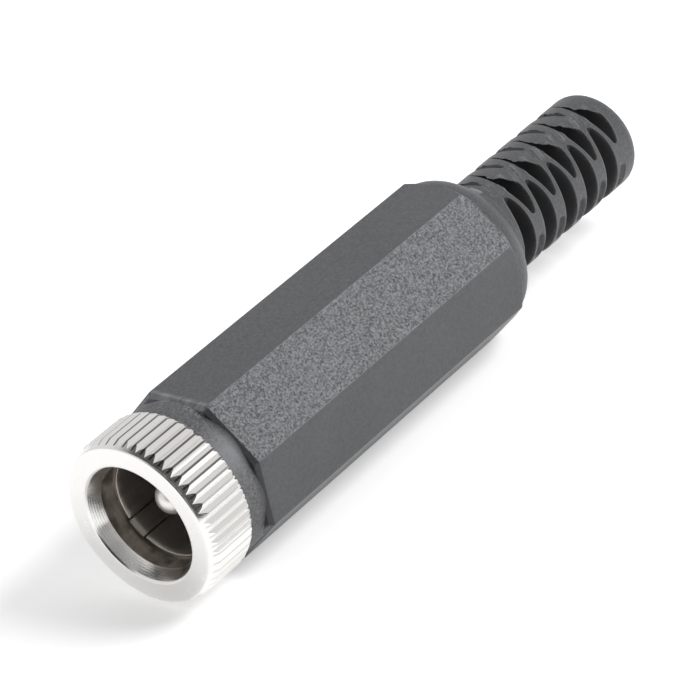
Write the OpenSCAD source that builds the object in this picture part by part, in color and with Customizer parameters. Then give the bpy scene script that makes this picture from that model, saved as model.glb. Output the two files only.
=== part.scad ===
// In-line DC power jack for 5.5 x 2.1 mm plugs: a turned and knurled metal front that holds the
// contacts, and a moulded octagonal cover that screws on from behind and ends in a slotted boot.
// The axis runs along X. X = 0 is the mating face, and the cable leaves towards +X.

/* [Front bushing] */
// Diameter over the knurl
knurl_d = 10; // [9:0.1:12]
// Length of the knurled head
head_len = 3.5; // [2.5:0.1:5]
// Number of knurl grooves
knurl_count = 51; // [36:1:60]
// Depth of a knurl groove
knurl_depth = 0.15; // [0.08:0.01:0.2]
// Width of the land left between two grooves
knurl_land = 0.12; // [0.08:0.01:0.2]
// Diameter of the flat front face
face_d = 9.6; // [9.3:0.1:9.8]
// Diameter of the tapered mouth at the front face
mouth_d = 7.2; // [6.9:0.1:8]
// Diameter of the throat that the plug enters
throat_d = 6.48; // [6.48:0.02:6.6]
// Depth of the tapered mouth
mouth_len = 0.9; // [0.5:0.1:1.2]
// Outer diameter of the threaded shank
shank_d = 7.9; // [7.8:0.05:7.95]
// Overall length of the bushing
bushing_len = 11.6; // [11.5:0.1:12.2]

/* [Contacts] */
// Diameter of the centre pin
pin_d = 2; // [1.65:0.05:2.4]
// Depth of the pin's round tip behind the face
pin_recess = 2; // [1.5:0.1:3]
// Inner diameter of the sleeve contact
sleeve_d = 6.12; // [6:0.02:6.12]
// Wall of the sleeve contact
sleeve_wall = 0.34; // [0.25:0.01:0.34]
// Depth of the sleeve's front edge behind the face
sleeve_recess = 2.05; // [2:0.05:2.5]
// How far the spring finger bows in towards the plug
finger_bow = 0.5; // [0.3:0.05:0.7]
// Angle of the finger round the axis, from +Y towards +Z
finger_turn = -41; // [-180:1:180]
// Thickness of the two solder terminals
tag_t = 0.4; // [0.3:0.05:0.5]

/* [Cover] */
// Width across the flats of the octagon
flats = 9.74; // [9.4:0.02:10.4]
// Diameter of the round collar behind the knurl
collar_d = 9.56; // [9:0.02:9.6]
// Distance from the mating face to the octagon
octagon_start = 4.8; // [4.4:0.1:5.5]
// Distance from the mating face to the octagon's rear end
octagon_end = 28.5; // [28:0.1:32]
// Radius of the rounded shoulder behind the octagon
shoulder_r = 1.58; // [1.2:0.01:1.6]
// Diameter of the threaded bore, over the thread's crests
thread_d = 8; // [8:0.02:8.1]
// Diameter of the wiring space
cavity_d = 7.4; // [7:0.1:7.6]

/* [Boot] */
// Overall length of the jack
overall_len = 43.3; // [43:0.1:46]
// Outer diameter of the boot
boot_d = 6.26; // [6.1:0.02:6.5]
// Diameter of the cable hole
cable_d = 3.8; // [3.2:0.1:4.4]
// Number of slots cut from each side of the boot
slot_count = 5; // [2:1:5]
// Distance from one slot to the next on the same side
slot_pitch = 2.13; // [2:0.01:2.3]
// Width of a slot where it is widest
slot_w = 1.14; // [0.8:0.02:1.2]

/* [Hidden] */
$fn = 96;

// Radii and small allowances
knurl_r = knurl_d / 2;
shank_r = shank_d / 2;
fit_gap = 0.02;
edge = 0.06;
// How far two united bodies run into each other, and how far a cut runs on past a surface
overlap = 0.5;
past = 1;

// Inside of the bushing: the socket for the sleeve, and a wider seat for the insulator and the lug
socket_r = sleeve_d / 2 + sleeve_wall + fit_gap;
socket_x = 1.8;
seat_r = 3.55;
seat_x = 9.4;
lip_r = 3.15;

// The stack in the seat, from front to back
flange_len = 1.2;
lug_x = seat_x + flange_len;
washer_x = lug_x + tag_t;
washer_t = 0.8;
tag_x = washer_x + washer_t;
rivet_x = tag_x + tag_t;

// Knurl and chamfers of the head
chamfer_len = 0.7;
rear_chamfer = 0.12;
rear_chamfer_len = 0.3;

// Insulator and pin
boss_r = 1.95;
stem_r = 0.8;
pin_seat = 0.6;
pin_seat_r = 1.25;

// Terminals
strip_z = -2.75;
strip_w = 2.6;
clamp_x = 21;
clamp_len = 4.5;
clamp_r = 2.3;

// Cover
octagon_r = flats / 2;
corner_r = octagon_r / cos(22.5);
collar_x = head_len + 0.04;
front_chamfer = 0.23;
corner_chamfer = 0.45;
thread_len = 9;
funnel_x = 26.6;
funnel_len = 2.6;
neck_r = octagon_r - fit_gap - shoulder_r;
neck_end = 31.05;
boot_r = boot_d / 2;
cable_r = cable_d / 2;
boot_round = 0.7;

// Turns the start of the collar's and the rear chamfer's circles away from the middle of a flat
seam_turn = 11;

// Slots: both sets are cut along one line across the boot, at right angles to the mould's parting
// plane, which passes through one corner of the octagon
pull_turn = 202.5;
near_x = 31.93;
far_x = near_x + slot_pitch / 2;
near_tip = 0.78;
far_tip = -2.3;
taper_len = 2.3;
tip_r = 0.14;

// A shape turned on the X axis, from points given as [radius, distance along the axis]
module turned(points) {
    rotate([0, 90, 0]) rotate_extrude() polygon(points);
}

// A round rod or bore of radius r from x0 to x1
module rod(r, x0, x1) {
    translate([x0, 0, 0]) rotate([0, 90, 0]) cylinder(r = r, h = x1 - x0);
}

// End view of the knurl: a ring of V grooves with narrow lands between them
module knurl_profile() {
    step = 360 / knurl_count;
    land = knurl_land / 2 / knurl_r * 180 / PI;
    root_r = knurl_r - knurl_depth;
    polygon([for (i = [0 : knurl_count - 1]) let (a = i * step)
        each [
            [knurl_r * cos(a - land), knurl_r * sin(a - land)],
            [knurl_r * cos(a + land), knurl_r * sin(a + land)],
            [root_r * cos(a + step / 2), root_r * sin(a + step / 2)]
        ]]);
}

// The knurled head of the bushing, before its bore: the knurl is turned down at both ends
module knurled_head() {
    over = 0.1;
    front_slope = (knurl_r - face_d / 2) / (chamfer_len - edge);
    rear_slope = rear_chamfer / rear_chamfer_len;
    intersection() {
        rotate([90, 0, 90]) linear_extrude(height = head_len) knurl_profile();
        turned([
            [0, 0], [face_d / 2 - edge, 0], [face_d / 2, edge],
            [knurl_r + over, chamfer_len + over / front_slope],
            [knurl_r + over, head_len - rear_chamfer_len - over / rear_slope],
            [knurl_r - rear_chamfer, head_len], [0, head_len]
        ]);
    }
}

// Turned brass front: knurled head, tapered mouth, threaded shank, and a rear rim rolled over the lug
module front_bushing() {
    relief = 0.35;
    relief_end = head_len + 0.6;
    end_chamfer = 0.4;
    color("gainsboro") difference() {
        union() {
            knurled_head();
            turned([
                [0, head_len - overlap], [shank_r - relief, head_len - overlap],
                [shank_r - relief, relief_end], [shank_r, relief_end + relief],
                [shank_r, bushing_len - end_chamfer],
                [shank_r - end_chamfer, bushing_len], [0, bushing_len]
            ]);
        }
        turned([
            [0, -past], [mouth_d / 2 + edge, -past], [mouth_d / 2 + edge, 0], [mouth_d / 2, edge],
            [throat_d / 2, mouth_len], [throat_d / 2, socket_x], [socket_r, socket_x],
            [socket_r, seat_x], [seat_r, seat_x], [seat_r, washer_x],
            [lip_r, washer_x], [lip_r, bushing_len + past], [0, bushing_len + past]
        ]);
    }
}

// Inner radius of the spring finger at distance x: it bows in and comes back, like a cosine wave
function finger_r(x, x0, x1) =
    sleeve_d / 2 + fit_gap - finger_bow * (1 - cos(360 * (x - x0) / (x1 - x0))) / 2;

// Sprung tube that touches the plug's barrel: flared at the mouth, with one finger between two slots
module sleeve_contact() {
    finger_half = 10.6;
    slot_half = 12.3;
    root_x = 7.8;
    root_end = root_x + 0.4;
    flare = 0.12;
    tip_x = sleeve_recess - flare;
    bow_x = sleeve_recess + 0.3;
    steps = 16;
    tube_r = sleeve_d / 2 + sleeve_wall;
    root_r = sleeve_d / 2 + fit_gap;
    finger_t = sleeve_wall - 2 * fit_gap;
    inner = [for (i = [0 : steps]) let (x = bow_x + (root_x - bow_x) * i / steps)
        [finger_r(x, bow_x, root_x), x]];
    outer = [for (i = [steps : -1 : 0]) [inner[i][0] + finger_t, inner[i][1]]];
    color("silver") union() {
        difference() {
            turned([
                [sleeve_d / 2 + flare, sleeve_recess], [tube_r, sleeve_recess], [tube_r, seat_x],
                [sleeve_d / 2, seat_x], [sleeve_d / 2, sleeve_recess + 2 * flare]
            ]);
            wedge(slot_half, sleeve_recess - past, root_x);
        }
        intersection() {
            turned(concat(
                [[root_r + finger_t, tip_x], [root_r + flare, tip_x], [root_r, tip_x + 2 * flare]],
                inner,
                [[root_r, root_end], [root_r + finger_t, root_end]],
                outer
            ));
            wedge(finger_half, tip_x - past, root_end);
        }
    }
}

// A wedge about the axis at the finger's angle, half degrees to each side, from x0 to x1
module wedge(half, x0, x1) {
    reach = 5;
    translate([x0, 0, 0]) rotate([90, 0, 90]) rotate([0, 0, finger_turn])
        linear_extrude(height = x1 - x0)
            polygon([[0, 0], [reach, -reach * tan(half)], [reach, reach * tan(half)]]);
}

// Moulded disc that centres the pin in the bushing, with a boss that passes through the lug
module pin_insulator() {
    color("dimgray") difference() {
        union() {
            rod(seat_r - fit_gap, seat_x, lug_x);
            rod(boss_r, lug_x - overlap, tag_x);
        }
        rod(pin_seat_r + fit_gap, seat_x - past, seat_x + pin_seat);
        rod(stem_r + fit_gap, seat_x, tag_x + past);
    }
}

// Turned pin: round tip, a wider seat let into the insulator, and a stem riveted over the centre terminal
module centre_pin() {
    pin_r = pin_d / 2;
    head_r = 1.15;
    head_len = 0.45;
    color("silver") turned(concat(
        [for (a = [0 : 10 : 90]) [pin_r * sin(a), pin_recess + pin_r * (1 - cos(a))]],
        [
            [pin_r, seat_x], [pin_seat_r, seat_x], [pin_seat_r, seat_x + pin_seat],
            [stem_r, seat_x + pin_seat], [stem_r, rivet_x]
        ],
        [for (a = [0 : 15 : 90]) [head_r * cos(a), rivet_x + head_len * sin(a)]]
    ));
}

// Flat strip along the axis, w wide and tag_t thick, whose lower face is at height z
module strip(w, z, x0, x1) {
    translate([x0, -w / 2, z]) cube([x1 - x0, w, tag_t]);
}

// Ring lug clamped under the bushing's rim, a solder strip, and ears that clamp the cable's jacket
module sleeve_terminal() {
    slack = 0.05;
    ear_top = 1.4;
    hole_x = 14.6;
    hole_r = 0.6;
    clamp_z = strip_z + tag_t + clamp_r;
    outer_r = clamp_r + tag_t;
    color("lightsteelblue") union() {
        difference() {
            rod(seat_r - slack, lug_x, washer_x);
            rod(boss_r + slack, lug_x - past, washer_x + past);
        }
        difference() {
            strip(strip_w, strip_z, lug_x, clamp_x + clamp_len);
            translate([hole_x, 0, strip_z - past]) cylinder(r = hole_r, h = tag_t + 2 * past);
        }
        translate([clamp_x, 0, 0]) rotate([90, 0, 90]) linear_extrude(height = clamp_len)
            difference() {
                union() {
                    translate([0, clamp_z]) circle(r = outer_r);
                    translate([-outer_r, clamp_z]) square([2 * outer_r, ear_top - clamp_z]);
                }
                translate([0, clamp_z]) circle(r = clamp_r);
                translate([-clamp_r, clamp_z]) square(2 * clamp_r);
                translate([-outer_r - past, ear_top]) square(2 * (outer_r + past));
            }
    }
}

// Fibre washer that keeps the two terminals apart
module insulating_washer() {
    washer_r = 2.3;
    color("sienna") difference() {
        rod(washer_r, washer_x, tag_x);
        rod(boss_r + fit_gap, washer_x - past, tag_x + past);
    }
}

// Short solder tag on the pin's stem, bent back along the axis
module centre_terminal() {
    disc_r = 1.7;
    tag_w = 2;
    tag_end = 15.2;
    hole_r = 0.5;
    color("lightsteelblue") difference() {
        union() {
            rod(disc_r, tag_x, rivet_x);
            strip(tag_w, disc_r - tag_t, tag_x, tag_end);
            translate([tag_end, 0, disc_r - tag_t]) cylinder(r = tag_w / 2, h = tag_t);
        }
        rod(stem_r + fit_gap, tag_x - past, rivet_x + past);
        translate([tag_end, 0, 0]) cylinder(r = hole_r, h = disc_r + past);
    }
}

// Octagonal barrel with flats up, down and to both sides, chamfered at the front; its rear corners are
// turned down
module octagon() {
    barrel_x = octagon_start + front_chamfer;
    intersection() {
        rotate([0, 90, 0]) rotate([0, 0, 22.5]) {
            translate([0, 0, octagon_start])
                cylinder(r1 = corner_r - front_chamfer / cos(22.5), r2 = corner_r, h = front_chamfer, $fn = 8);
            translate([0, 0, barrel_x]) cylinder(r = corner_r, h = octagon_end - barrel_x, $fn = 8);
        }
        rotate([seam_turn, 0, 0]) turned([
            [0, octagon_start - past], [corner_r + past, octagon_start - past],
            [corner_r + past, octagon_end - corner_chamfer * (1 + past / (corner_r - octagon_r))],
            [octagon_r + fit_gap, octagon_end], [0, octagon_end]
        ]);
    }
}

// Pointed arch of a slot's side view, with its blunt tip at the origin and the slot opening along +Y
module slot_profile() {
    half = slot_w / 2;
    arch_r = (taper_len * taper_len + half * half) / (2 * half);
    reach = 8;
    union() {
        intersection() {
            translate([half - arch_r, taper_len]) circle(r = arch_r, $fn = 180);
            translate([arch_r - half, taper_len]) circle(r = arch_r, $fn = 180);
            translate([-half, 0]) square([slot_w, taper_len + overlap]);
        }
        translate([-half, taper_len]) square([slot_w, reach - taper_len]);
        translate([0, tip_r]) circle(r = tip_r, $fn = 32);
    }
}

// One slot at distance x, opening in the direction turn, with its tip at distance tip from the axis
module slot(x, turn, tip) {
    rotate([turn, 0, 0]) translate([x, tip, -boot_d]) linear_extrude(height = 2 * boot_d)
        slot_profile();
}

// Shallow oblong recess over the spine that is left beyond each slot of the far set
module dimple(x) {
    depth = 0.25;
    len = 1.7;
    half_w = 0.3;
    rotate([pull_turn, 0, 0]) translate([x, boot_r - depth, 0]) rotate([-90, 0, 0])
        linear_extrude(height = depth + past) {
            square([2 * half_w, len - 2 * half_w], center = true);
            for (side = [-1, 1]) translate([0, side * (len / 2 - half_w)]) circle(r = half_w, $fn = 32);
        }
}

// Rounded shoulder, neck and boot as one turned form
module boot_body() {
    arc_x = octagon_end + 0.1;
    start_x = octagon_end - overlap;
    turned(concat(
        [[0, start_x], [neck_r + shoulder_r, start_x]],
        [for (a = [90 : -6 : 0]) [neck_r + shoulder_r * sin(a), arc_x + shoulder_r * cos(a)]],
        [[neck_r, neck_end - edge], [neck_r - edge, neck_end], [boot_r, neck_end]],
        [for (a = [90 : -10 : 0])
            [boot_r - boot_round + boot_round * sin(a), overall_len - boot_round + boot_round * cos(a)]],
        [[0, overall_len]]
    ));
}

// Everything that is hollow in the cover, from the thread to the cable hole
module cover_bore() {
    lead_in = 0.3;
    hole_chamfer = 0.2;
    thread_end = collar_x + thread_len;
    turned([
        [0, collar_x - past], [thread_d / 2 + lead_in, collar_x - past],
        [thread_d / 2 + lead_in, collar_x], [thread_d / 2, collar_x + lead_in],
        [thread_d / 2, thread_end], [cavity_d / 2, thread_end + lead_in], [cavity_d / 2, funnel_x],
        [cable_r, funnel_x + funnel_len], [cable_r, overall_len - hole_chamfer],
        [cable_r + hole_chamfer, overall_len], [cable_r + hole_chamfer, overall_len + past],
        [0, overall_len + past]
    ]);
}

// One moulding: round collar, octagonal barrel, rounded shoulder and the slotted flexible boot
module cover() {
    color("#2b2c2e") difference() {
        union() {
            rotate([seam_turn, 0, 0]) rod(collar_d / 2, collar_x, octagon_start + overlap);
            octagon();
            boot_body();
        }
        cover_bore();
        for (i = [0 : slot_count - 1]) {
            slot(near_x + i * slot_pitch, pull_turn, near_tip);
            slot(far_x + i * slot_pitch, pull_turn - 180, far_tip);
            dimple(far_x + i * slot_pitch);
        }
    }
}

front_bushing();
sleeve_contact();
pin_insulator();
centre_pin();
sleeve_terminal();
insulating_washer();
centre_terminal();
cover();
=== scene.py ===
import math
import bmesh
import bpy
import numpy as np
from mathutils import Matrix, Vector


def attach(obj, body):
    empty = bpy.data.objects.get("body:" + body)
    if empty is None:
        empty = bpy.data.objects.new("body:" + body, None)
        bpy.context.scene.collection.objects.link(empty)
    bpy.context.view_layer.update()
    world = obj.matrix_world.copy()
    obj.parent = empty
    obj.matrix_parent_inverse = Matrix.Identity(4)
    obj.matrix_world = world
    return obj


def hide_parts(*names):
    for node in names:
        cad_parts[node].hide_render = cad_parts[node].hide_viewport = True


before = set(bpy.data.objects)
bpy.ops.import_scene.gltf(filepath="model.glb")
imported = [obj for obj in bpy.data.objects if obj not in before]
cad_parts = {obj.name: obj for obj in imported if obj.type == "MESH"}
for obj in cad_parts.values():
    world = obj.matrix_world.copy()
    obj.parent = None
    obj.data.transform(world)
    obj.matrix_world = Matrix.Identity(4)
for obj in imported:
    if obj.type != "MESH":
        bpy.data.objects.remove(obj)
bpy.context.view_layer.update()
mm = 0.001

# Camera: a long lens looks at the jack from the front left and above, rolled a little, so that the mouth,
# three flats of the cover and the slotted boot all show.
eye = Vector((-108.89, -123.23, 102.59)) * mm
target = Vector((15.927, -2.587, 1.925)) * mm
roll = -0.2261
forward = (target - eye).normalized()
right = forward.cross(Vector((0, 0, 1))).normalized()
down = forward.cross(right)
rolled_right = math.cos(roll) * right - math.sin(roll) * down
rolled_down = math.sin(roll) * right + math.cos(roll) * down
camera_data = bpy.data.cameras.new("camera")
camera_data.lens = 189.2
camera_data.sensor_width = 36
camera_data.clip_start = 0.005
camera_data.clip_end = 10
camera = bpy.data.objects.new("camera", camera_data)
bpy.context.scene.collection.objects.link(camera)
facing = Matrix((rolled_right, -rolled_down, -forward)).transposed().to_4x4()
camera.matrix_world = Matrix.Translation(eye) @ facing
bpy.context.scene.camera = camera

# Floor and light: the jack lies on its knurl and its lower flat on a white sheet, inside a white tent. A
# dark gap runs over the tent from side to side and widens towards the camera, and the bright metal mirrors
# it as a dark band. One soft lamp stands past the cover, so that it grazes the grained flats.
bpy.context.scene.view_settings.view_transform = "Standard"
floor_half = 1.5
floor_z = -5.02 * mm
floor_mesh = bpy.data.meshes.new("floor")
floor_mesh.from_pydata([(-floor_half, -floor_half, floor_z), (floor_half, -floor_half, floor_z),
                        (floor_half, floor_half, floor_z), (-floor_half, floor_half, floor_z)],
                       [], [(0, 1, 2, 3)])
floor = bpy.data.objects.new("floor", floor_mesh)
bpy.context.scene.collection.objects.link(floor)


def fresh_material(name, colour, rough, metal=0.0):
    """A material with its colour, roughness and metallic value, its node tree and its shader."""
    mat = bpy.data.materials.new(name)
    mat.use_nodes = True
    tree = mat.node_tree
    shader = tree.nodes["Principled BSDF"]
    shader.inputs["Base Color"].default_value = (*colour, 1)
    shader.inputs["Roughness"].default_value = rough
    shader.inputs["Metallic"].default_value = metal
    return mat, tree, shader


def add(tree, kind, inputs=None, **settings):
    """A shader node with its settings, and its inputs given as values or as sockets to link."""
    made = tree.nodes.new("ShaderNode" + kind)
    for key, value in settings.items():
        setattr(made, key, value)
    for key, value in (inputs or {}).items():
        if isinstance(value, bpy.types.NodeSocket):
            tree.links.new(value, made.inputs[key])
        else:
            made.inputs[key].default_value = value
    return made


paper, tree, shader = fresh_material("white_sheet", (0.95, 0.95, 0.95), 0.9)
shader.inputs["Specular IOR Level"].default_value = 0.0
shader.inputs["Emission Color"].default_value = (1, 1, 1, 1)
seen = add(tree, "LightPath")
mirrored = add(tree, "Math", {0: seen.outputs["Is Glossy Ray"], 1: seen.outputs["Is Transmission Ray"]},
               operation="MAXIMUM")
lift = add(tree, "Math", {0: seen.outputs["Is Camera Ray"], 1: mirrored.outputs[0]}, operation="MAXIMUM")
glow = add(tree, "MapRange", {"Value": lift.outputs[0], "To Min": 0.12, "To Max": 0.36})
tree.links.new(glow.outputs["Result"], shader.inputs["Emission Strength"])
floor_mesh.materials.append(paper)

tent_strength, gap_strength = 1.0, 0.05
camera_side = Vector((-0.78, -0.42, 0.47)).normalized()
tent = bpy.data.worlds.new("tent")
bpy.context.scene.world = tent
tent.use_nodes = True
tree = tent.node_tree
tree.nodes.clear()
sky = add(tree, "TexCoord").outputs["Generated"]
apart = add(tree, "SeparateXYZ", {0: sky})
toward = add(tree, "VectorMath", {0: sky, 1: camera_side}, operation="DOT_PRODUCT")
limits = []
for value, start, end in ((apart.outputs[0], -0.26, -0.12), (apart.outputs[0], 0.34, 0.20),
                          (apart.outputs[1], 0.8, 0.3), (toward.outputs["Value"], 0.76, 0.88)):
    limits.append(add(tree, "MapRange", {"Value": value, "From Min": start, "From Max": end},
                      interpolation_type="SMOOTHSTEP").outputs["Result"])
gap = limits[0]
for limit, operation in zip(limits[1:], ("MULTIPLY", "MULTIPLY", "MAXIMUM")):
    gap = add(tree, "Math", {0: gap, 1: limit}, operation=operation).outputs[0]
shade = add(tree, "MapRange", {"Value": gap, "To Min": tent_strength, "To Max": gap_strength})
inside = add(tree, "Background", {"Strength": shade.outputs["Result"]})
behind = add(tree, "Background", {"Strength": 1.0})
rays = add(tree, "LightPath")
choose = add(tree, "MixShader", {"Fac": rays.outputs["Is Camera Ray"], 1: inside.outputs["Background"],
                                 2: behind.outputs["Background"]})
add(tree, "OutputWorld", {"Surface": choose.outputs["Shader"]})

lamp_data = bpy.data.lights.new("soft_lamp", "AREA")
lamp_data.shape = "DISK"
lamp_data.size = 0.16
lamp_data.energy = 0.8
lamp = bpy.data.objects.new("soft_lamp", lamp_data)
bpy.context.scene.collection.objects.link(lamp)
lamp.visible_glossy = False
lamp.location = (0.16, -0.20, 0.25)
lamp.rotation_euler = (Vector((0.015, 0, 0)) - lamp.location).to_track_quat("-Z", "Y").to_euler()

# Front bushing: one piece of brass, turned and bored on a lathe, its head knurled with straight grooves and
# chamfered, its shank threaded for the cover, then nickel-plated all over.
knurl_r, knurl_depth, knurl_count, land_share = 4.999, 0.15, 51, 0.0974
head_end, shank_r, shank_end = 3.5, 3.95, 11.6
thread_pitch, thread_depth = 0.75, 0.32


def ring(radius, along, angles):
    """Points round the X axis: y and z are the radius times the cosine and sine of the angle. Rows run
    along the profile and columns round the axis; radius and distance along may differ in every column."""
    radius, along, angles = np.broadcast_arrays(radius, along, angles)
    return np.stack([along, radius * np.cos(angles), radius * np.sin(angles)], -1) * mm


def quads(rows, columns, first=0, wrap=True):
    """Faces of a grid: point (i, j) joins (i, j + 1), (i + 1, j + 1) and (i + 1, j); columns close up."""
    index = first + np.arange(rows * columns).reshape(rows, columns)
    if wrap:
        index = np.concatenate([index, index[:, :1]], 1)
    return np.stack([index[:-1, :-1], index[:-1, 1:], index[1:, 1:], index[1:, :-1]], -1).reshape(-1, 4)


def arc(before, corner, after, size, steps=4):
    """A rounded corner of a profile, as (x, r) rows: the curve (1-t)(1-t)A + 2t(1-t)C + ttB, where A and B
    lie at the given distance from the corner C towards the points before and after it."""
    before, corner, after = (np.asarray(p, float) for p in (before, corner, after))
    towards = [(p - corner) / np.linalg.norm(p - corner, axis=-1, keepdims=True) for p in (before, after)]
    size = np.asarray(size, float)[..., None]
    start, end = corner + size * towards[0], corner + size * towards[1]
    t = np.linspace(0, 1, steps).reshape(-1, *[1] * corner.ndim)
    return (1 - t) ** 2 * start + 2 * t * (1 - t) * corner + t * t * end


def build(name, points, faces, mat, body, replaced, sharp=30, point_values=None):
    """Makes one mesh, welds its seams, turns its faces outwards and hands it to the frame. Each point carries
    values for the material, given by name; most of them paint highlights, sheen and shade into its colour."""
    used = np.unique(np.concatenate([part.ravel() for part in faces]))
    rank = np.searchsorted(used, np.arange(points.size // 3))
    mesh = bpy.data.meshes.new(name)
    corners = sum([rank[part].tolist() for part in faces], [])
    mesh.from_pydata(points.reshape(-1, 3)[used].tolist(), [], corners)
    for key, values in (point_values or {}).items():
        carried = np.ravel(values)[used].astype(np.float32)
        mesh.attributes.new(key, "FLOAT", "POINT").data.foreach_set("value", carried)
    work = bmesh.new()
    work.from_mesh(mesh)
    bmesh.ops.remove_doubles(work, verts=work.verts, dist=3e-7)
    bmesh.ops.recalc_face_normals(work, faces=work.faces)
    work.to_mesh(mesh)
    work.free()
    mesh.polygons.foreach_set("use_smooth", np.ones(len(mesh.polygons), bool))
    mesh.set_sharp_from_angle(angle=math.radians(sharp))
    mesh.materials.append(mat)
    shape = bpy.data.objects.new(name, mesh)
    bpy.context.scene.collection.objects.link(shape)
    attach(shape, body)
    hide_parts(*replaced)
    return shape


def mixed(tree, share, first, second):
    """Colour between two others: the first where the share is 0, the second where it is 1."""
    return add(tree, "Mix", {"Factor": share, 6: first, 7: second}, data_type="RGBA").outputs[2]


def finish(tree, shader, colour, height, strength, distance, gloss=None):
    """Gives the shader its colour, a bump made from a height and, where it varies, its roughness."""
    tree.links.new(colour, shader.inputs["Base Color"])
    relief = add(tree, "Bump", {"Height": height, "Strength": strength, "Distance": distance})
    tree.links.new(relief.outputs[0], shader.inputs["Normal"])
    if gloss:
        tree.links.new(gloss.outputs[0], shader.inputs["Roughness"])


def turning_marks(tree, place):
    """A fine one-dimensional noise of x plus the distance from the axis: rings left by the lathe tool."""
    split = add(tree, "SeparateXYZ", {0: place})
    flat = add(tree, "CombineXYZ", {1: split.outputs[1], 2: split.outputs[2]})
    away = add(tree, "VectorMath", {0: flat.outputs[0]}, operation="LENGTH")
    total = add(tree, "Math", {0: split.outputs[0], 1: away.outputs["Value"]}, operation="ADD")
    return add(tree, "TexNoise", {"W": total.outputs[0], "Scale": 14000.0, "Detail": 2.0},
               noise_dimensions="1D").outputs["Fac"]


nickel, tree, shader = fresh_material("nickel_plate", (0.86, 0.84, 0.81), 0.2, 1.0)
place = add(tree, "TexCoord").outputs["Object"]
rings = turning_marks(tree, place)
cloud = add(tree, "TexNoise", {"Vector": place, "Scale": 900.0, "Detail": 4.0}).outputs["Fac"]
# Painted shade: the lands of the knurl are mixed towards a dark grey, as much as each point carries. This
# stands in for the tent's dark gap mirrored in them.
land_shade = add(tree, "Attribute", attribute_name="land_shade").outputs["Fac"]
# Painted shade in the throat: past the mouth the nickel's colour is mixed to a dark brown, lighter in
# patches, and its roughness is raised.
throat_shade = add(tree, "Attribute", attribute_name="inside").outputs["Fac"]
clean = mixed(tree, cloud, (0.81, 0.80, 0.78, 1), (0.89, 0.88, 0.86, 1))
shaded_lands = mixed(tree, land_shade, clean, (0.18, 0.165, 0.155, 1))
patch = add(tree, "MapRange", {"Value": cloud, "From Min": 0.42, "From Max": 0.62})
shaded_throat = mixed(tree, patch.outputs[0], (0.30, 0.265, 0.23, 1), (0.68, 0.62, 0.56, 1))
bored = mixed(tree, throat_shade, shaded_lands, shaded_throat)
gloss = add(tree, "MapRange", {"Value": cloud, "From Min": 0.3, "From Max": 0.7,
                               "To Min": 0.16, "To Max": 0.30})
matt = add(tree, "Math", {0: throat_shade, 1: 0.3, 2: gloss.outputs[0]}, operation="MULTIPLY_ADD")
finish(tree, shader, bored, rings, 0.15, 3e-6, matt)

# Columns round the head: ten to each groove, as shares of the knurl's pitch from one land to the next
share = np.array([0, 0.085, 0.12, 0.25, 0.40, 0.5, 0.60, 0.75, 0.88, 0.915])
fine = np.radians((np.arange(knurl_count)[:, None] + share).ravel() * 360 / knurl_count)
from_land = np.tile(np.minimum(share, 1 - share), knurl_count)
dip = knurl_depth * np.clip((from_land - land_share) / (0.5 - land_share), 0, 1)
crest = knurl_r - dip
front_x = 0.70 - dip / 0.3125
rear_x = np.minimum(3.2 + dip / 0.4, head_end)
rear_r = np.minimum(crest, 4.88)
flat_row = np.zeros_like(fine)
lip = arc((0, 4.5), (0, 4.785), (0.64, 4.985), 0.07)[:, None] + np.zeros((1, fine.size, 1))
start = lip[-1]
meet = np.stack([front_x, crest], -1)
cone = start + np.linspace(0.2, 1, 6)[:, None, None] * (meet - start)
barrel_x = front_x + np.linspace(0.04, 1, 9)[:, None] * (rear_x - front_x)
barrel = np.stack([barrel_x, crest + 0 * barrel_x], -1)
back = np.stack([flat_row + head_end - 0.02, rear_r], -1)[None]
fall = np.stack([np.stack([flat_row + head_end, rear_r - 0.03], -1),
                 np.stack([flat_row + head_end, flat_row + 4.70], -1)])
head = np.concatenate([lip, cone, barrel, back, fall])
head_points = ring(head[..., 1], head[..., 0], fine)
# Painted shade on the lands of the knurl: full between 80 and 140 degrees round the axis, where they face the
# dark gap, and down to 0.3 below 65 and past 155 degrees.
land_shade_amount = (from_land < 0.11) * (head[..., 1] > 4.86) * 1.0
land_shade_amount[:4] = 0
land_shade_amount = land_shade_amount * (0.3 + 0.7 * np.clip(3 - np.abs(np.degrees(fine) - 110) / 15, 0, 1))

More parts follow.
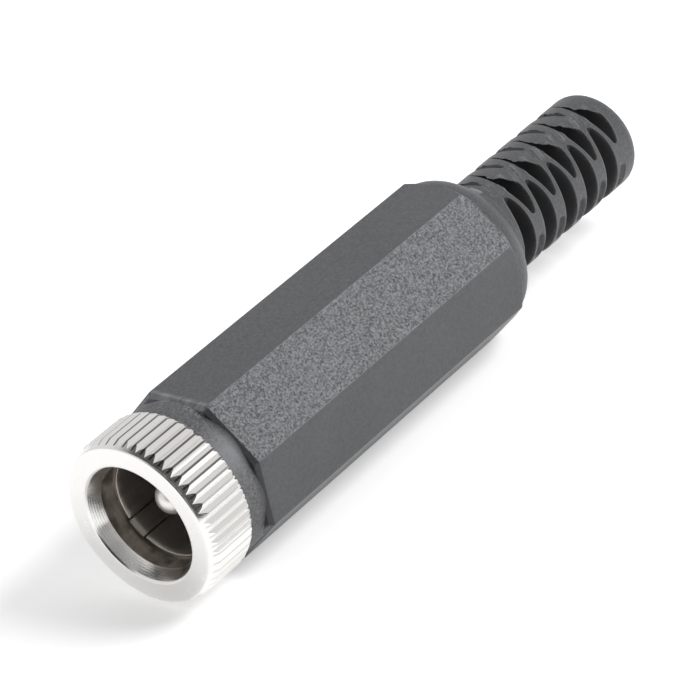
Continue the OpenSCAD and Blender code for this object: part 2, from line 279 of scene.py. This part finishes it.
coarse = fine[::5]
mouth_x = np.linspace(0.10, 0.86, 26)
mouth = np.stack([mouth_x, 3.6 - 0.40 * mouth_x + 0.0009 * np.sin(2 * math.pi * mouth_x / 0.135)], -1)
thread_x = np.linspace(4.45, 11.15, 91)
turns = thread_x[:, None] / thread_pitch - coarse / (2 * math.pi)
fade = np.clip(np.minimum(thread_x - 4.45, 11.15 - thread_x) / 0.4, 0, 1)[:, None]
tooth = np.clip(1.25 * np.abs(2 * (turns % 1) - 1) - 0.125, 0, 1)
thread = np.stack([thread_x[:, None] + 0 * coarse, shank_r - thread_depth * fade * tooth], -1)
bore = np.concatenate([
    [(0, 4.5), (0, 4.1), (0, 3.76)], arc((0, 4.0), (0, 3.62), (0.2, 3.54), 0.07), mouth,
    arc((0.8, 3.28), (0.9, 3.24), (1.2, 3.24), 0.03), [(1.3, 3.24), (1.76, 3.24)],
    arc((1.5, 3.24), (1.8, 3.24), (1.8, 3.42), 0.03), [(1.8, 3.42)], [(3.5, 3.42), (6.5, 3.42), (9.4, 3.42)],
    [(9.4, 3.55), (10.9, 3.55), (11.0, 3.5), (11.0, 3.19)],
    arc((11.0, 3.4), (11.0, 3.15), (11.5, 3.15), 0.04),
    arc((11.2, 3.15), (shank_end, 3.15), (shank_end, 3.4), 0.08),
    arc((shank_end, 3.2), (shank_end, 3.55), (11.3, 3.85), 0.12), [(11.2, shank_r)]])
neck = np.array([(4.45, shank_r), (4.3, 3.8), (4.1, 3.6), (3.8, 3.6), (3.54, 3.6),
                 (head_end, 3.64), (head_end, 4.1), (head_end, 4.5)])
inner = np.concatenate([bore[:, None] + np.zeros((1, coarse.size, 1)), thread[::-1],
                        neck[:, None] + np.zeros((1, coarse.size, 1))])
inner_points = ring(inner[..., 1], inner[..., 0], coarse)
head_n, inner_n = head_points.shape[0] * fine.size, inner_points.shape[0]


def stitch(fine_row, coarse_row):
    """Triangles between a ring of five points a step and a ring of one point a step, both at the same
    angles: the first two fine edges fan to the near coarse point, and the other three to the next one."""
    j = np.arange(coarse.size)
    here, there = coarse_row + j, coarse_row + (j + 1) % coarse.size
    spot = [fine_row + (5 * j + k) % fine.size for k in range(6)]
    fan = [(spot[0], spot[1], here), (spot[1], spot[2], here), (spot[2], there, here),
           (spot[2], spot[3], there), (spot[3], spot[4], there), (spot[4], spot[5], there)]
    return np.concatenate([np.stack(f, -1) for f in fan])


# Where the bore gets its painted shade: past the mouth, inside the throat
in_throat = (inner[..., 0] > 0.87) & (inner[..., 1] < 3.56)
build("knurled_front", np.concatenate([head_points.reshape(-1, 3), inner_points.reshape(-1, 3)]),
      [quads(len(head_points), fine.size), quads(inner_n, coarse.size, head_n),
       stitch(0, head_n), stitch(head_n - fine.size, head_n + (inner_n - 1) * coarse.size)],
      nickel, "jack", ["front_bushing"],
      point_values={"land_shade": np.concatenate([np.ravel(land_shade_amount), np.zeros(inner_n * coarse.size)]),
             "inside": np.concatenate([np.zeros(head_n), np.ravel(in_throat)])})

# Sleeve contact: spring bronze rolled into a tube and plated, flared at its front edge, with one finger
# between two slots that bows in to grip the plug's barrel.
contact, tree, shader = fresh_material("plated_bronze", (0.72, 0.67, 0.58), 0.32, 1.0)
place = add(tree, "TexCoord").outputs["Object"]
stretched = add(tree, "Mapping", {"Vector": place, "Scale": (300.0, 4000.0, 4000.0)})
streaks = add(tree, "TexNoise", {"Vector": stretched.outputs[0], "Scale": 1.0, "Detail": 3.0}).outputs["Fac"]
tone = mixed(tree, streaks, (0.58, 0.54, 0.50, 1), (0.78, 0.74, 0.70, 1))
gloss = add(tree, "MapRange", {"Value": streaks, "To Min": 0.30, "To Max": 0.50})
finish(tree, shader, tone, streaks, 0.15, 4e-6, gloss)

wall, tube_mid, finger_turn = 0.34, 3.23, -41.0
finger_half, cut_half, root_x, tube_front, tube_back = 10.6, 12.3, 7.8, 2.05, 9.4
turn = np.concatenate([np.linspace(-finger_half, finger_half, 15), np.linspace(cut_half, 360 - cut_half, 85)])
on_finger = np.abs(turn) <= finger_half
along = np.concatenate([[0, 0.01, 0.022, 0.04], np.linspace(0.08, 1, 34)])
front = np.where(on_finger, tube_front - 0.12, tube_front)
x = front + along[:, None] * (root_x - front)
bow_start, bow_depth = 4.4, 0.5
wave = (1 - np.cos(2 * math.pi * (x - bow_start) / (root_x - bow_start))) / 2
bow = np.where(on_finger & (x > bow_start), bow_depth * wave, 0)
flare = 0.06 * np.clip((tube_front + 0.24 - x) / 0.24, 0, 1) ** 1.5
front_skin = ring(tube_mid - bow + flare, x, np.radians(turn + finger_turn))
rear_x = np.linspace(root_x, tube_back, 8)[1:, None] + 0 * turn
rear_skin = ring(tube_mid + 0 * rear_x, rear_x, np.radians(turn + finger_turn))
skin = np.concatenate([front_skin, rear_skin])
faces = quads(len(skin), turn.size).reshape(len(skin) - 1, turn.size, 4)
gap = np.zeros(turn.size, bool)
gap[[14, turn.size - 1]] = True
faces = np.concatenate([faces[:len(along) - 1, ~gap].reshape(-1, 4), faces[len(along) - 1:].reshape(-1, 4)])
sleeve = build("sprung_sleeve", skin, [faces], contact, "jack", ["sleeve_contact"],
               sharp=60)
thick = sleeve.modifiers.new("wall", "SOLIDIFY")
thick.thickness, thick.offset, thick.use_even_offset = wall * mm, 0.0, True
soft = sleeve.modifiers.new("broken_edges", "BEVEL")
soft.width, soft.segments, soft.limit_method, soft.angle_limit = 0.03 * mm, 2, "ANGLE", math.radians(50)

# Centre pin: turned brass, round-nosed and polished, nickel-plated, with a wider seat in the insulator and
# a stem whose end is riveted over the centre terminal.
pin_metal, tree, shader = fresh_material("polished_pin", (0.88, 0.87, 0.84), 0.12, 1.0)
place = add(tree, "TexCoord").outputs["Object"]
rings = turning_marks(tree, place)
tone = mixed(tree, rings, (0.84, 0.82, 0.79, 1), (0.92, 0.91, 0.89, 1))
gloss = add(tree, "MapRange", {"Value": rings, "To Min": 0.28, "To Max": 0.45})
finish(tree, shader, tone, rings, 0.2, 3e-6, gloss)

round_pin = np.radians(np.arange(0, 360, 6))
nose = np.radians(np.linspace(0, 90, 16))
crown = np.radians(np.linspace(0, 90, 9))
profile = np.concatenate([
    np.stack([3.0 - np.cos(nose), np.sin(nose)], -1), [(3.8, 1.0), (5.2, 1.0), (7.0, 1.0), (9.36, 1.0)],
    [(9.4, 1.04), (9.4, 1.21)], arc((9.4, 1.1), (9.4, 1.25), (9.8, 1.25), 0.04),
    [(9.98, 1.25), (10.0, 1.22), (10.0, 0.8), (11.4, 0.8), (12.2, 0.8), (12.2, 1.15)],
    np.stack([12.2 + 0.45 * np.sin(crown), 1.15 * np.cos(crown)], -1)])
skin = ring(profile[:, 1:], profile[:, :1], round_pin)
build("round_nosed_pin", skin, [quads(len(skin), round_pin.size)], pin_metal, "jack",
      ["centre_pin"])

# Pin insulator: a black moulded disc pressed into the bushing behind the contact tube, with a boss that
# carries the terminals.
disc, tree, shader = fresh_material("black_disc", (0.02, 0.02, 0.02), 0.45)
place = add(tree, "TexCoord").outputs["Object"]
speck = add(tree, "TexNoise", {"Vector": place, "Scale": 5000.0, "Detail": 3.0}).outputs["Fac"]
tone = mixed(tree, speck, (0.014, 0.014, 0.014, 1), (0.035, 0.034, 0.033, 1))
finish(tree, shader, tone, speck, 0.2, 1e-5)


def dress(node, mat):
    """Gives a solid of the frame its finish, on the slots that it already has."""
    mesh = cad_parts[node].data
    if not mesh.materials:
        mesh.materials.append(mat)
    for k in range(len(mesh.materials)):
        mesh.materials[k] = mat


dress("pin_insulator", disc)

# Insulating washer: a ring of red-brown vulcanised fibre, punched from sheet. It sits on the insulator's
# boss and keeps the two terminals apart.
fibre, tree, shader = fresh_material("red_fibre", (0.3, 0.12, 0.07), 0.75)
place = add(tree, "TexCoord").outputs["Object"]
stretched = add(tree, "Mapping", {"Vector": place, "Scale": (600.0, 2500.0, 9000.0)})
strands = add(tree, "TexNoise", {"Vector": stretched.outputs[0], "Scale": 1.0, "Detail": 5.0}).outputs["Fac"]
tone = mixed(tree, strands, (0.20, 0.07, 0.04, 1), (0.42, 0.19, 0.11, 1))
finish(tree, shader, tone, strands, 0.3, 1e-5)
dress("insulating_washer", fibre)

# Terminals: blanked from sheet brass and tinned. The long one is clamped under the bushing's rim and ends
# in ears that are closed over the cable; the short one is riveted to the pin.
tinned, tree, shader = fresh_material("tinned_brass", (0.7, 0.7, 0.68), 0.4, 1.0)
place = add(tree, "TexCoord").outputs["Object"]
bloom = add(tree, "TexNoise", {"Vector": place, "Scale": 700.0, "Detail": 5.0,
                               "Roughness": 0.6}).outputs["Fac"]
tone = mixed(tree, bloom, (0.55, 0.54, 0.51, 1), (0.80, 0.80, 0.78, 1))
gloss = add(tree, "MapRange", {"Value": bloom, "To Min": 0.22, "To Max": 0.6})
finish(tree, shader, tone, bloom, 0.2, 2e-5, gloss)
dress("sleeve_terminal", tinned)
dress("centre_terminal", tinned)

# Cover: one black moulding that screws on from behind. A round collar, an octagonal barrel whose mould
# parts along one corner and leaves a thin burr there, a rounded shoulder, and a boot that slots from both
# sides, cut one between the other, make flexible.
plastic, tree, shader = fresh_material("black_moulding", (0.08, 0.082, 0.086), 0.5)
place = add(tree, "TexCoord").outputs["Object"]
grain_and_sheen_amount = add(tree, "Attribute", attribute_name="grain_and_sheen").outputs["Fac"]
light_edge = add(tree, "Attribute", attribute_name="edge").outputs["Fac"]
coarse_grain = add(tree, "TexNoise", {"Vector": place, "Scale": 7500.0, "Detail": 3.0,
                                      "Roughness": 0.6}).outputs["Fac"]
fine_grain = add(tree, "TexNoise", {"Vector": place, "Scale": 14000.0, "Detail": 2.0}).outputs["Fac"]
flow = add(tree, "TexNoise", {"Vector": place, "Scale": 260.0, "Detail": 3.0}).outputs["Fac"]
# Painted sheen: as much as each point carries of the grain, the colour sparkles between near black and a
# light grey of 0.3. This is a glint painted on the grain; the same value also sets the grain's bump and
# roughness.
spark = add(tree, "MapRange", {"Value": coarse_grain, "From Min": 0.3, "From Max": 0.7})
dull = mixed(tree, flow, (0.049, 0.051, 0.056, 1), (0.071, 0.072, 0.076, 1))
lit = mixed(tree, spark.outputs[0], (0.046, 0.047, 0.052, 1), (0.300, 0.305, 0.318, 1))
grainy = mixed(tree, grain_and_sheen_amount, dull, lit)
# Painted highlights: a light grey is mixed in, as much as each point carries. They sit on the octagon's
# corners, the gate, the collar, the top of the front chamfer, the ledge on the neck, the rims of the slots,
# the flash and the far walls of the pull slots.
edged = mixed(tree, light_edge, grainy, (0.24, 0.245, 0.255, 1))
# Painted shade: the colour is mixed to near black, as much as each point carries. This happens in the slots,
# the cable hole, the step from the collar to the front chamfer and on the collar away from 142 degrees round
# the axis.
painted_shade = add(tree, "Attribute", attribute_name="painted_shade").outputs["Fac"]
with_painted_shade = mixed(tree, painted_shade, edged, (0.042, 0.042, 0.043, 1))
tree.links.new(with_painted_shade, shader.inputs["Base Color"])
gloss = add(tree, "MapRange", {"Value": grain_and_sheen_amount, "To Min": 0.42, "To Max": 0.62})
tree.links.new(gloss.outputs[0], shader.inputs["Roughness"])
depth = add(tree, "MapRange", {"Value": grain_and_sheen_amount, "To Min": 0.10, "To Max": 0.9})
relief = add(tree, "Bump", {"Height": coarse_grain, "Strength": depth.outputs[0], "Distance": 2.2e-5})
skinny = add(tree, "Bump", {"Height": fine_grain, "Strength": 0.25, "Distance": 6e-6,
                            "Normal": relief.outputs[0]})
tree.links.new(skinny.outputs[0], shader.inputs["Normal"])

collar_x, collar_r, octagon_x, octagon_end = 3.54, 4.78, 4.8, 28.5
front_r, thread_r, wiring_r, parting_turn = 4.32, 4.0, 3.7, 112.5
in_r, front_cut, shoulder_r, neck_r, neck_end = 4.87, 0.23, 1.58, 3.27, 31.05
boot_r, cable_r, boot_end, pull = 3.13, 1.9, 43.3, 202.5
slot_half, blunt, pull_tip, side_tip = 0.57, 0.22, 0.78, 2.3
pull_x = 31.93 + 2.13 * np.arange(5)
side_x = pull_x + 1.065


def oval(across):
    """Half the width of a slot at a distance from its middle: wide arcs of radius R, sqrt(RR - yy) less the
    distance of their centre, and past the point where they touch it the small circle of the tip."""
    tip_y = side_tip - blunt
    wide = (tip_y ** 2 + slot_half ** 2 - blunt ** 2) / (2 * (slot_half - blunt))
    y = np.abs(across)
    arcs = np.sqrt(wide ** 2 - np.clip(y, 0, side_tip) ** 2) - (wide - slot_half)
    tip = np.sqrt(np.clip(blunt ** 2 - np.clip(y - tip_y, 0, None) ** 2, 0, None))
    return np.where(y < tip_y * wide / (wide - blunt), arcs, tip)


def slot_width(kind, q):
    """Half the width of a slot at the distance q from the parting plane: a pull slot (kind 0) is half an
    oval that starts near the plane and stays wide beyond, and a side slot (kind 1) is the whole oval."""
    if kind:
        return oval(q)
    return np.where(np.abs(q) > pull_tip, oval(np.minimum(np.abs(q) - pull_tip - side_tip, 0)), 0)


# Columns round the cover: close together at the octagon's corners, at the tips of the slots and where the
# mould parts
step_in = np.array([0, 0.015, 0.05, 0.1, 0.18, 0.3, 0.5])
tips = np.concatenate([np.degrees(np.arccos((pull_tip + step_in) / boot_r)),
                       np.degrees(np.arccos((pull_tip + step_in) / cable_r)),
                       np.degrees(np.arccos((side_tip - step_in) / boot_r)), [10, 12, 13.2, 14.6, 15.8]])
parting = np.concatenate([np.arange(99.5, 123, 0.9), np.arange(279.5, 303, 0.9)])
flat = np.array([-22.5, -22.25, -22.0, -21.3, -19.7, -16.8, -13, -8.5, -4,
                 0, 4, 8.5, 13, 16.8, 19.7, 21.3, 22.0, 22.25])
turn = np.concatenate([(45 * np.arange(8)[:, None] + flat).ravel(), pull + tips, pull - tips,
                       pull + 180 + tips, pull + 180 - tips, parting])
turn = np.unique(np.round(turn % 360, 4))
angle = np.radians(turn)
lean = np.cos(angle - math.radians(pull))
off_flat = np.abs((turn + 22.5) % 45 - 22.5)
zero = 0 * turn


def octagon(inner):
    """Radius of the octagon in each column: the distance to a flat over the cosine of the angle from its
    middle, and near a corner the circle that rounds it."""
    corner = 0.12
    centre = (inner - corner) / math.cos(math.pi / 8)
    delta = np.radians(22.5 - off_flat)
    rounded = centre * np.cos(delta) + np.sqrt(np.clip(corner ** 2 - (centre * np.sin(delta)) ** 2, 0, None))
    ends = math.degrees(math.atan((inner - corner) * math.tan(math.pi / 8) / inner))
    return np.where(off_flat > ends, rounded, inner / np.cos(np.radians(off_flat)))


def row(x, r):
    """One row of the skin: distance along the axis and radius in every column."""
    return np.stack([x + zero, r + zero], -1)


def window(value, low, high, soft):
    """One between two limits and nothing outside, with soft ends."""
    return np.clip((value - low) / soft + 0.5, 0, 1) * np.clip((high - value) / soft + 0.5, 0, 1)


def rough(x, a, seed):
    """An uneven height between 0 and 1: a sum of sine waves whose lengths don't fit each other."""
    total = 0
    for n, (kx, ka) in enumerate([(5.1, 1.3), (11.7, 0.7), (23.9, 2.9), (3.1, 0.4), (41.3, 3.7)]):
        total = total + np.sin(kx * x + ka * a + seed * (n + 1.7)) / (1 + 0.35 * n)
    return np.clip(0.5 + 0.28 * total, 0, 1)


full, small = octagon(in_r), octagon(in_r - front_cut)
rise = np.maximum(octagon_x, octagon_x + collar_r * in_r / full - in_r + front_cut)
edge_x = np.minimum(octagon_end, octagon_end - 1.1377 * (full - 4.89))
start, corner = row(rise, np.maximum(collar_r + 0.004, small)), row(octagon_x + front_cut, full)
rear = row(edge_x, full)
chamfer = arc(start, corner, corner + [1, 0], 0.05)
lengthways = np.union1d(np.linspace(0, 1, 84)[1:-1], 0.984 + np.linspace(-0.012, 0.012, 9))[:, None]
long_x = octagon_x + front_cut + 0.06 + lengthways * (edge_x - 0.12 - octagon_x - front_cut)
from_parting = np.minimum(np.abs(turn - parting_turn), np.abs(turn - parting_turn - 180))
burr = np.exp(-(from_parting / 0.35) ** 2)
burr_height = (0.012 + 0.05 * rough(long_x, 0, 1.0) ** 3) * burr
gate_x, gate_turn, gate_height = 27.75, 115.2, 0.16
gate = gate_height * np.exp(-(((long_x - gate_x) / 0.16) ** 2 + ((turn - gate_turn) / 1.9) ** 2) ** 2)
barrel = np.stack([long_x, full + burr_height + gate], -1)
down_to = row(octagon_end, np.minimum(full, 4.89))
rear_corner = arc(rear - [1, 0], rear, row(octagon_end + 0.02, np.minimum(full - 0.02, 4.89)), 0.04)
sweep = np.radians(np.linspace(90, 0, 14))[:, None]
shoulder = np.stack([octagon_end + 0.1 + shoulder_r * np.cos(sweep) + zero,
                     neck_r + shoulder_r * np.sin(sweep) + zero], -1)
ledge = 0.17 * window(turn, 91, 108, 2.0)
seam = 0.07 * np.exp(-((turn - 111.5) / 1.1) ** 2)
neck = np.stack([row(30.45, neck_r), row(30.8, neck_r), row(neck_end - 0.06 + ledge, neck_r),
                 row(neck_end - 0.02 + ledge, neck_r - 0.02), row(neck_end + ledge, neck_r - 0.06)])
shell = np.concatenate([
    row(collar_x, front_r)[None], arc(row(collar_x, 4.5), row(collar_x, collar_r), row(4.0, collar_r), 0.07),
    row(4.0, collar_r)[None], row(4.4, collar_r)[None], row(rise, collar_r)[None], start[None], chamfer,
    barrel, rear_corner, down_to[None], row(octagon_end + 0.02, neck_r + shoulder_r)[None], shoulder, neck,
    row(neck_end + 0.01 + ledge, boot_r)[None]])

# Skin of the boot between two slots: from the edge of one to the edge of the next, each edge rounded off.
# Where the mould parts, a ragged film of plastic narrows the slots.
centres = np.ravel(np.stack([pull_x, side_x], -1))
parted = np.maximum(window(turn, 101, 120, 3.0), window(turn, 281, 300, 3.0))
skinned = np.clip((124 - turn) / 26, 0, 1) * (turn > 40)
wide_out, wide_in, bevel, film = [], [], [], []
for k in range(10):
    ragged = rough(centres[k], 14 * angle, 2.0)
    if k % 2:
        film.append(np.maximum(parted * (0.2 + 0.12 * ragged), skinned * (1.45 + 0.35 * ragged)))
    else:
        film.append(window(turn, 58, 104, 5.0) * (0.8 + 0.5 * ragged))
    wide_out.append(slot_width(k % 2, boot_r * lean))
    wide_in.append(slot_width(k % 2, cable_r * lean))
    bevel.append(0.07 * np.clip(wide_out[k] / 0.08, 0, 1) * np.clip(1 - film[k], 0, 1))
outer_rows, inner_rows, edge_marks = [], [], []
for k in range(11):
    low = neck_end + 0.01 + ledge if k == 0 else centres[k - 1] + wide_out[k - 1] * (1 - film[k - 1])
    high = boot_end - 0.7 + zero if k == 10 else centres[k] - wide_out[k]
    cut_low = zero if k == 0 else bevel[k - 1]
    cut_high = zero if k == 10 else bevel[k]
    inside_low, inside_high = low + cut_low, high - cut_high
    parts = np.array([0, 0.12, 0.25, 0.34, 0.42, 0.5, 0.58, 0.66, 0.75, 0.88, 1])[:, None]
    middle = inside_low + parts * (inside_high - inside_low)
    r = boot_r + zero + 0 * middle
    outer_rows.append(np.concatenate([
        row(low, boot_r - cut_low)[None], row(low + 0.3 * cut_low, boot_r - 0.3 * cut_low)[None],
        np.stack([middle, r], -1),
        row(high - 0.3 * cut_high, boot_r - 0.3 * cut_high)[None], row(high, boot_r - cut_high)[None]]))
    # Painted highlights on the rounded rims of the slots
    rim_highlight = np.zeros((len(middle) + 4, turn.size))
    rim_highlight[:3] = 0 if k == 0 else (cut_low > 0.03)
    rim_highlight[-3:] = 0 if k == 10 else (cut_high > 0.03)
    edge_marks.append(rim_highlight)
    low_in = 29.4 + zero if k == 0 else centres[k - 1] + wide_in[k - 1]
    high_in = boot_end - 0.2 + zero if k == 10 else centres[k] - wide_in[k]
    inner_rows.append(np.stack([row(low_in + t * (high_in - low_in), cable_r) for t in (0, 0.33, 0.67, 1)]))

side = boot_r * np.sin(angle - math.radians(pull))
streaks = []
for rows in outer_rows:
    x = rows[..., 0]
    near_spine = np.min(np.hypot(x[..., None] - side_x, np.clip(np.abs(side) - 0.55, 0, None)[:, None]), -1)
    dent = 0.22 * np.clip((0.34 - near_spine) / 0.12, 0, 1)
    flash = 0.075 * rough(x, 9 * angle, 4.0) ** 2 * window(turn, 102, 121, 4.0) * window(x, 31.6, 42.0, 0.6)
    line = seam * window(x, 30.9, 32.5, 0.3)
    rows[..., 1] += np.where(rows[..., 1] > boot_r - 0.03, flash + line, 0) - dent
    # Painted highlights: lighter streaks along the flash, as high as it stands
    streaks.append(14 * flash * rough(7 * x, 60 * angle, 5.0))

end_round = 0.7
end_turn = np.radians(np.linspace(90, 0, 9))[1:, None]
end_arc = np.stack([boot_end - end_round + end_round * np.cos(end_turn) + zero,
                    boot_r - end_round + end_round * np.sin(end_turn) + zero], -1)
mouth = np.stack([row(boot_end, 2.12), row(boot_end - 0.03, 2.06), row(boot_end - 0.2, cable_r)])

# Hollow of the cover, from the cable hole back to the front: a funnel, the wiring space and the thread
thread_x = np.linspace(12.4, 3.95, 101)[:, None]
turns = thread_x / thread_pitch - angle / (2 * math.pi)
fade = np.clip(np.minimum(thread_x - 3.95, 12.4 - thread_x) / 0.4, 0, 1)
groove = np.clip(1.25 * np.abs(2 * (turns % 1) - 1) - 0.125, 0, 1)
thread = np.stack([thread_x + 0 * turns, thread_r + 0.30 * fade * groove], -1)
hollow = np.concatenate([
    np.stack([row(29.4, cable_r), row(29.2, cable_r), row(27.9, 2.8), row(26.6, wiring_r), row(22, wiring_r),
              row(17, wiring_r), row(12.85, wiring_r), row(12.55, thread_r)]),
    thread, np.stack([row(3.85, thread_r + 0.02), row(collar_x, front_r)])])

# Walls of the slots: straight lines from the outer edge to the cable hole, or to the slot's tip
points, faces, grain_and_sheen, edge, painted_shade_values = [], [], [], [], []


def lay(rows, keep=None, point_values=0, painted_shade=0):
    """Adds a grid of (x, r) rows to the cover, leaving out columns where keep is false."""
    first = sum(p.size // 3 for p in points)
    points.append(ring(rows[..., 1], rows[..., 0], angle))
    grid = quads(len(rows), turn.size, first).reshape(len(rows) - 1, turn.size, 4)
    if keep is not None:
        grid = grid[:, keep & np.roll(keep, -1)]
    faces.append(grid.reshape(-1, 4))
    edge.append(np.broadcast_to(point_values, rows.shape[:2]).ravel())
    painted_shade_values.append(np.broadcast_to(painted_shade, rows.shape[:2]).ravel())
    # Grain and painted sheen by flat: full on the flat between 112.5 and 157.5 degrees round the axis, which
    # faces the lamp, 0.2 on the top flat, 0.12 on the lower near flats and 0.6 on the rest. Full on the
    # collar and 0.2 behind the octagon.
    faced = np.select([window(turn, 112.5, 157.5, 0.01) > 0.5, window(turn, 67.5, 112.5, 0.01) > 0.5,
                       window(turn, 157.5, 247.5, 0.01) > 0.5], [1.0, 0.2, 0.12], 0.6)
    x = rows[..., 0]
    grain_and_sheen.append((faced * window(x, 4.9, 28.3, 0.1) + 0.2 * (x >= 28.3) + 1.0 * (x < 4.9)).ravel())


# Rows 1 to 7 of the shell are the collar, 8 to 12 the front chamfer, and the barrel follows
shell_highlights = np.zeros(shell.shape[:2])
shell_shade = np.zeros(shell.shape[:2])
barrel_start, barrel_stop = 13, 13 + len(barrel)
# Painted highlights: lighter corners of the octagon and a lighter gate, a collar lighter near 142 degrees
# round the axis with light specks, a front chamfer lighter on the top flat, and a lighter ledge on the neck
shell_highlights[9:barrel_stop] = 0.55 * np.exp(-((22.5 - off_flat) / 0.3) ** 2)
shell_highlights[barrel_start:barrel_stop] += np.clip(9 * gate, 0, 1)
shell_highlights[1:8] = (0.2 * rough(9 * shell[1:8, :, 0], 40 * angle, 3.0)
                    + 0.75 * np.exp(-((turn - 142) / 16) ** 2))
shell_highlights[8:13] = window(turn, 68, 112, 1.0) * (0.3 + 0.7 * rough(0, 30 * angle, 6.0))
# Painted shade: a collar darker away from 142 degrees round the axis, and the step to the front chamfer
# darker between 113 and 205 degrees
shell_shade[1:7] = 0.5 - 0.5 * np.exp(-((turn - 142) / 20) ** 2)
shell_shade[7:11] = 0.9 * window(turn, 113, 205, 2.0)
shell_highlights[-4:-1] = window(turn, 92, 107, 1.0)
lay(shell, point_values=shell_highlights, painted_shade=shell_shade)
for rows, rim_highlight, flash_glint in zip(outer_rows, edge_marks, streaks):
    lay(rows, point_values=0.35 * rim_highlight + flash_glint)
# Painted shade: the cable hole is made fully dark
for rows in inner_rows:
    lay(rows, painted_shade=1)
lay(np.concatenate([outer_rows[10][-1:], end_arc, mouth]))
lay(hollow)
with np.errstate(divide="ignore"):
    past_parting = 1 / np.maximum(np.abs(lean), 1e-6)
# How much painted shade the slot walls get round the boot: the pull slots get it fully on the pull side and
# not at all on the far side. The side slots get it fully over most of the boot and down to 0.35 on the far
# side.
shaded = [np.clip(0.5 + 3 * lean, 0, 1), 0.35 + 0.65 * np.clip(1.2 + 3 * lean, 0, 1)]
for k in range(10):
    if k % 2:
        keep = np.ones(turn.size, bool)
        outer, inner = np.minimum(boot_r - bevel[k], side_tip * past_parting), cable_r + zero
    else:
        keep = boot_r * np.abs(lean) >= pull_tip - 1e-4
        outer, inner = boot_r - bevel[k], np.maximum(cable_r, pull_tip * past_parting)
    r = outer + np.linspace(0, 1, 7)[:, None] * (inner - outer)
    half = slot_width(k % 2, r * lean)
    half[0] = np.where(outer > boot_r - 0.08, np.minimum(wide_out[k], half[0]), half[0])
    for sign in (-1, 1):
        wall = half.copy()
        wall[0] = half[0] * (1 - film[k] * (sign > 0))
        # Painted shade grows from each wall's rim inwards; the pull slots' walls on the far side get a
        # painted highlight
        lay(np.stack([centres[k] + sign * wall, r], -1), keep, point_values=0.25 * (1 - k % 2) * (lean < 0),
            painted_shade=np.array([0, 0.8, 1, 1, 1, 1, 1])[:, None] * shaded[k % 2])

build("slotted_cover", np.concatenate([p.reshape(-1, 3) for p in points]), faces, plastic, "cover",
      ["cover"], sharp=32,
      point_values={"grain_and_sheen": np.concatenate(grain_and_sheen), "edge": np.concatenate(edge), "painted_shade": np.concatenate(painted_shade_values)})
